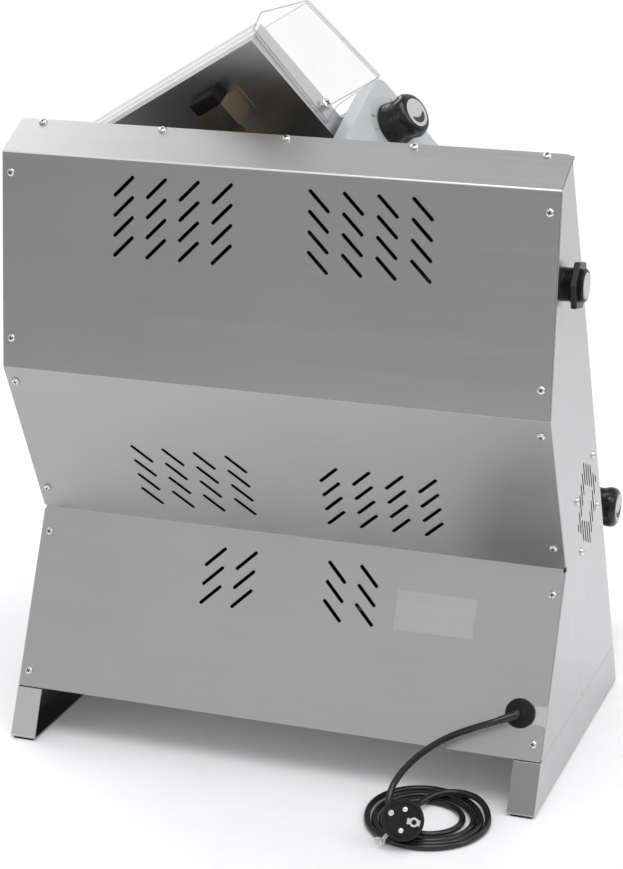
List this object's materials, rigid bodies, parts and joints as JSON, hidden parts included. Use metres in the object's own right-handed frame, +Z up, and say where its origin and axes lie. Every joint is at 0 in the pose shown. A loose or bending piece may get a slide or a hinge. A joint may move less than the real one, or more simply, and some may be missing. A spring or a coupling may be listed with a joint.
{
  "type": "dough rolling machine",
  "caption": "Bench-top dough rolling machine: folded steel casing with a sloped front, powered roller heads under clear guards, thickness knobs, swinging balance pan, exit tray and mains lead.",
  "frame": {"origin": "on the surface it stands on, under the middle of the machine without its lead", "axes": "+Z up, -Y towards the operator's side with the rollers, +Y towards the vented rear cover, -X towards the side with the switch, fan and knobs"},
  "size_m": [0.5772, 0.6409, 0.7071],
  "materials": {
    "casing_steel": "brushed, lightly satin",
    "bright_steel": "turned or plated",
    "pale_plastic": "smooth moulded",
    "roller_plastic": "turned food-grade plastic",
    "clear_plastic": "clear bent sheet",
    "black_plastic": "moulded",
    "grey_cap": "printed disc",
    "black_rubber": "matt",
    "motor_iron": "as cast, painted",
    "aluminium": "milled"
  },
  "bodies": {
    "casing": {"rear_cover": "casing_steel", "left_side_panel": "casing_steel", "right_side_panel": "casing_steel", "front_panel": "casing_steel", "base_tray": "casing_steel", "left_leg": "casing_steel", "right_leg": "casing_steel", "foot_pads": "black_rubber", "case_screws": "bright_steel", "fan_frame": "black_plastic", "switch_sleeve": "black_plastic", "switch_nut": "black_plastic", "cable_gland": "black_rubber", "power_cord": "black_rubber", "cord_coil": "black_rubber", "plug": "black_plastic", "balance_pivot": "bright_steel", "exit_tray": "casing_steel", "chute_bracket": "bright_steel", "chute_stop": "black_rubber", "tie_rods": "bright_steel", "guard_screws": "bright_steel", "rear_scrapers": "pale_plastic", "upper_knob_cheek": "pale_plastic", "upper_drive_cheek": "pale_plastic", "upper_drive_cover": "pale_plastic", "upper_chute": "casing_steel", "upper_gearmotor": "motor_iron", "lower_knob_cheek": "pale_plastic", "lower_drive_cheek": "pale_plastic", "lower_drive_cover": "pale_plastic", "lower_chute": "casing_steel", "lower_gearmotor": "motor_iron"},
    "upper_rear_set": {"upper_rear_roller": "roller_plastic", "upper_rear_shaft": "bright_steel", "upper_rear_gear": "bright_steel"},
    "upper_front_set": {"upper_front_roller": "roller_plastic", "upper_front_shaft": "bright_steel", "upper_front_gear": "bright_steel"},
    "upper_carriage_set": {"upper_carriage": "aluminium"},
    "upper_adjuster": {"upper_adjust_shaft": "bright_steel", "upper_knob": "black_plastic", "upper_knob_cap": "grey_cap"},
    "upper_guard_set": {"upper_guard": "clear_plastic"},
    "upper_drive": {"upper_motor_pinion": "bright_steel"},
    "lower_rear_set": {"lower_rear_roller": "roller_plastic", "lower_rear_shaft": "bright_steel", "lower_rear_gear": "bright_steel"},
    "lower_front_set": {"lower_front_roller": "roller_plastic", "lower_front_shaft": "bright_steel", "lower_front_gear": "bright_steel"},
    "lower_carriage_set": {"lower_carriage": "aluminium"},
    "lower_adjuster": {"lower_adjust_shaft": "bright_steel", "lower_knob": "black_plastic", "lower_knob_cap": "grey_cap"},
    "lower_guard_set": {"lower_guard": "clear_plastic"},
    "lower_drive": {"lower_motor_pinion": "bright_steel"},
    "fan_set": {"fan_rotor": "black_plastic"},
    "button_set": {"switch_button": "grey_cap"},
    "balance_set": {"balance_pan": "casing_steel"}
  },
  "joints": [
    {"name": "upper_rear_spin", "type": "hinge", "parent": "casing", "child": "upper_rear_set", "pos_m": [0.0601, 0.08798, 0.45772], "axis": [0.8387, -0.2253, -0.4959], "continuous": true},
    {"name": "upper_knob_turn", "type": "hinge", "parent": "casing", "child": "upper_adjuster", "pos_m": [-0.04777, 0.07871, 0.58601], "axis": [-0.8387, 0.2253, 0.4959], "range_deg": [0, 270]},
    {"name": "upper_gap_slide", "type": "slide", "parent": "casing", "child": "upper_carriage_set", "axis": [0, -0.9105, 0.4136], "range_m": [0, 0.004]},
    {"name": "upper_front_spin", "type": "hinge", "parent": "upper_carriage_set", "child": "upper_front_set", "pos_m": [0.0601, 0.0329, 0.48274], "axis": [0.8387, -0.2253, -0.4959], "continuous": true},
    {"name": "upper_motor_spin", "type": "hinge", "parent": "casing", "child": "upper_drive", "pos_m": [0.18758, 0.10045, 0.36113], "axis": [0.8387, -0.2253, -0.4959], "continuous": true},
    {"name": "upper_guard_lift", "type": "hinge", "parent": "casing", "child": "upper_guard_set", "pos_m": [0.11151, 0.08367, 0.54663], "axis": [-0.8387, 0.2253, 0.4959], "range_deg": [0, 38]},
    {"name": "lower_rear_spin", "type": "hinge", "parent": "casing", "child": "lower_rear_set", "pos_m": [-0.001, -0.06501, 0.12092], "axis": [1, 0, 0], "continuous": true},
    {"name": "lower_knob_turn", "type": "hinge", "parent": "casing", "child": "lower_adjuster", "pos_m": [-0.201, -0.10612, 0.17913], "axis": [-1, 0, 0], "range_deg": [0, 270]},
    {"name": "lower_gap_slide", "type": "slide", "parent": "casing", "child": "lower_carriage_set", "axis": [0, -0.9105, 0.4136], "range_m": [0, 0.004]},
    {"name": "lower_front_spin", "type": "hinge", "parent": "lower_carriage_set", "child": "lower_front_set", "pos_m": [-0.001, -0.12009, 0.14594], "axis": [1, 0, 0], "continuous": true},
    {"name": "lower_motor_spin", "type": "hinge", "parent": "casing", "child": "lower_drive", "pos_m": [0.199, -0.0183, 0.0997], "axis": [1, 0, 0], "continuous": true},
    {"name": "lower_guard_lift", "type": "hinge", "parent": "casing", "child": "lower_guard_set", "pos_m": [-0.001, -0.06302, 0.2237], "axis": [-1, 0, 0], "range_deg": [0, 38]},
    {"name": "fan_spin", "type": "hinge", "parent": "casing", "child": "fan_set", "pos_m": [-0.2645, 0.0904, 0.2507], "axis": [1, 0, 0], "continuous": true},
    {"name": "switch_press", "type": "slide", "parent": "casing", "child": "button_set", "axis": [1, 0, 0], "range_m": [0, 0.0025], "stiffness_N_per_m": 600, "springref_m": -0.002},
    {"name": "balance_swing", "type": "hinge", "parent": "casing", "child": "balance_set", "pos_m": [-0.101, 0.0457, 0.40816], "axis": [0, -0.9105, 0.4136], "range_deg": [-20, 20]}
  ],
  "couplings": [
    {"joint": "upper_front_spin", "follows": "upper_rear_spin", "ratio": -1},
    {"joint": "upper_motor_spin", "follows": "upper_rear_spin", "ratio": -1.4286},
    {"joint": "upper_knob_turn", "follows": "upper_gap_slide", "rad_per_m": 1178.1},
    {"joint": "lower_front_spin", "follows": "lower_rear_spin", "ratio": -1},
    {"joint": "lower_motor_spin", "follows": "lower_rear_spin", "ratio": -1.4286},
    {"joint": "lower_knob_turn", "follows": "lower_gap_slide", "rad_per_m": 1178.1}
  ]
}
